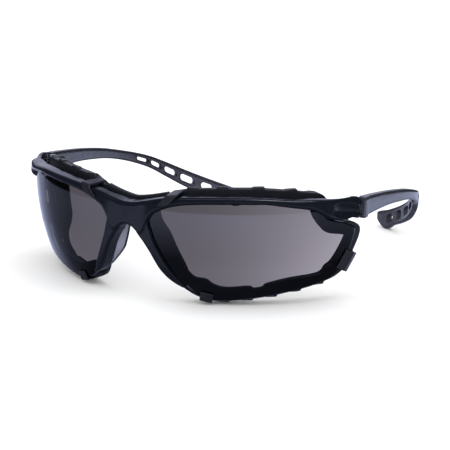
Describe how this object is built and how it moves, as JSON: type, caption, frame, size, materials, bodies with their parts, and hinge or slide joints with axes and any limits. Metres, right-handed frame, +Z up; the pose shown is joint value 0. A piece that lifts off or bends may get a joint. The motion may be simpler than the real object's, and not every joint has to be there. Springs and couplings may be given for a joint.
{
  "type": "safety glasses",
  "caption": "Wraparound safety glasses with tinted lenses, a clip-in foam gasket and curved slotted temples that fold.",
  "frame": {"origin": "centre of the whole outline on the plane that the open glasses rest on", "axes": "+X towards the wearer's left temple, -Y forwards out of the lenses, +Z up"},
  "size_m": [0.1466, 0.1525, 0.045],
  "materials": {
    "frame_plastic": "gloss",
    "lens_plastic": "gloss",
    "smoke_plastic": "gloss",
    "carrier_rubber": "satin",
    "black_foam": "matt",
    "steel": "satin"
  },
  "bodies": {
    "front": {"frame_front": "frame_plastic", "gasket_carrier": "carrier_rubber", "lens_left": "lens_plastic", "lens_right": "lens_plastic", "foam_left": "black_foam", "foam_right": "black_foam", "hinge_pin_left": "steel", "hinge_pin_right": "steel"},
    "temple_left": {"temple_left": "smoke_plastic"},
    "temple_right": {"temple_right": "smoke_plastic"}
  },
  "joints": [
    {"name": "fold_left", "type": "hinge", "parent": "front", "child": "temple_left", "pos_m": [0.0676, -0.02647, 0.0347], "axis": [0, 0, 1], "range_deg": [0, 78]},
    {"name": "fold_right", "type": "hinge", "parent": "front", "child": "temple_right", "pos_m": [-0.0676, -0.02647, 0.0347], "axis": [0, 0, -1], "range_deg": [0, 72]}
  ]
}
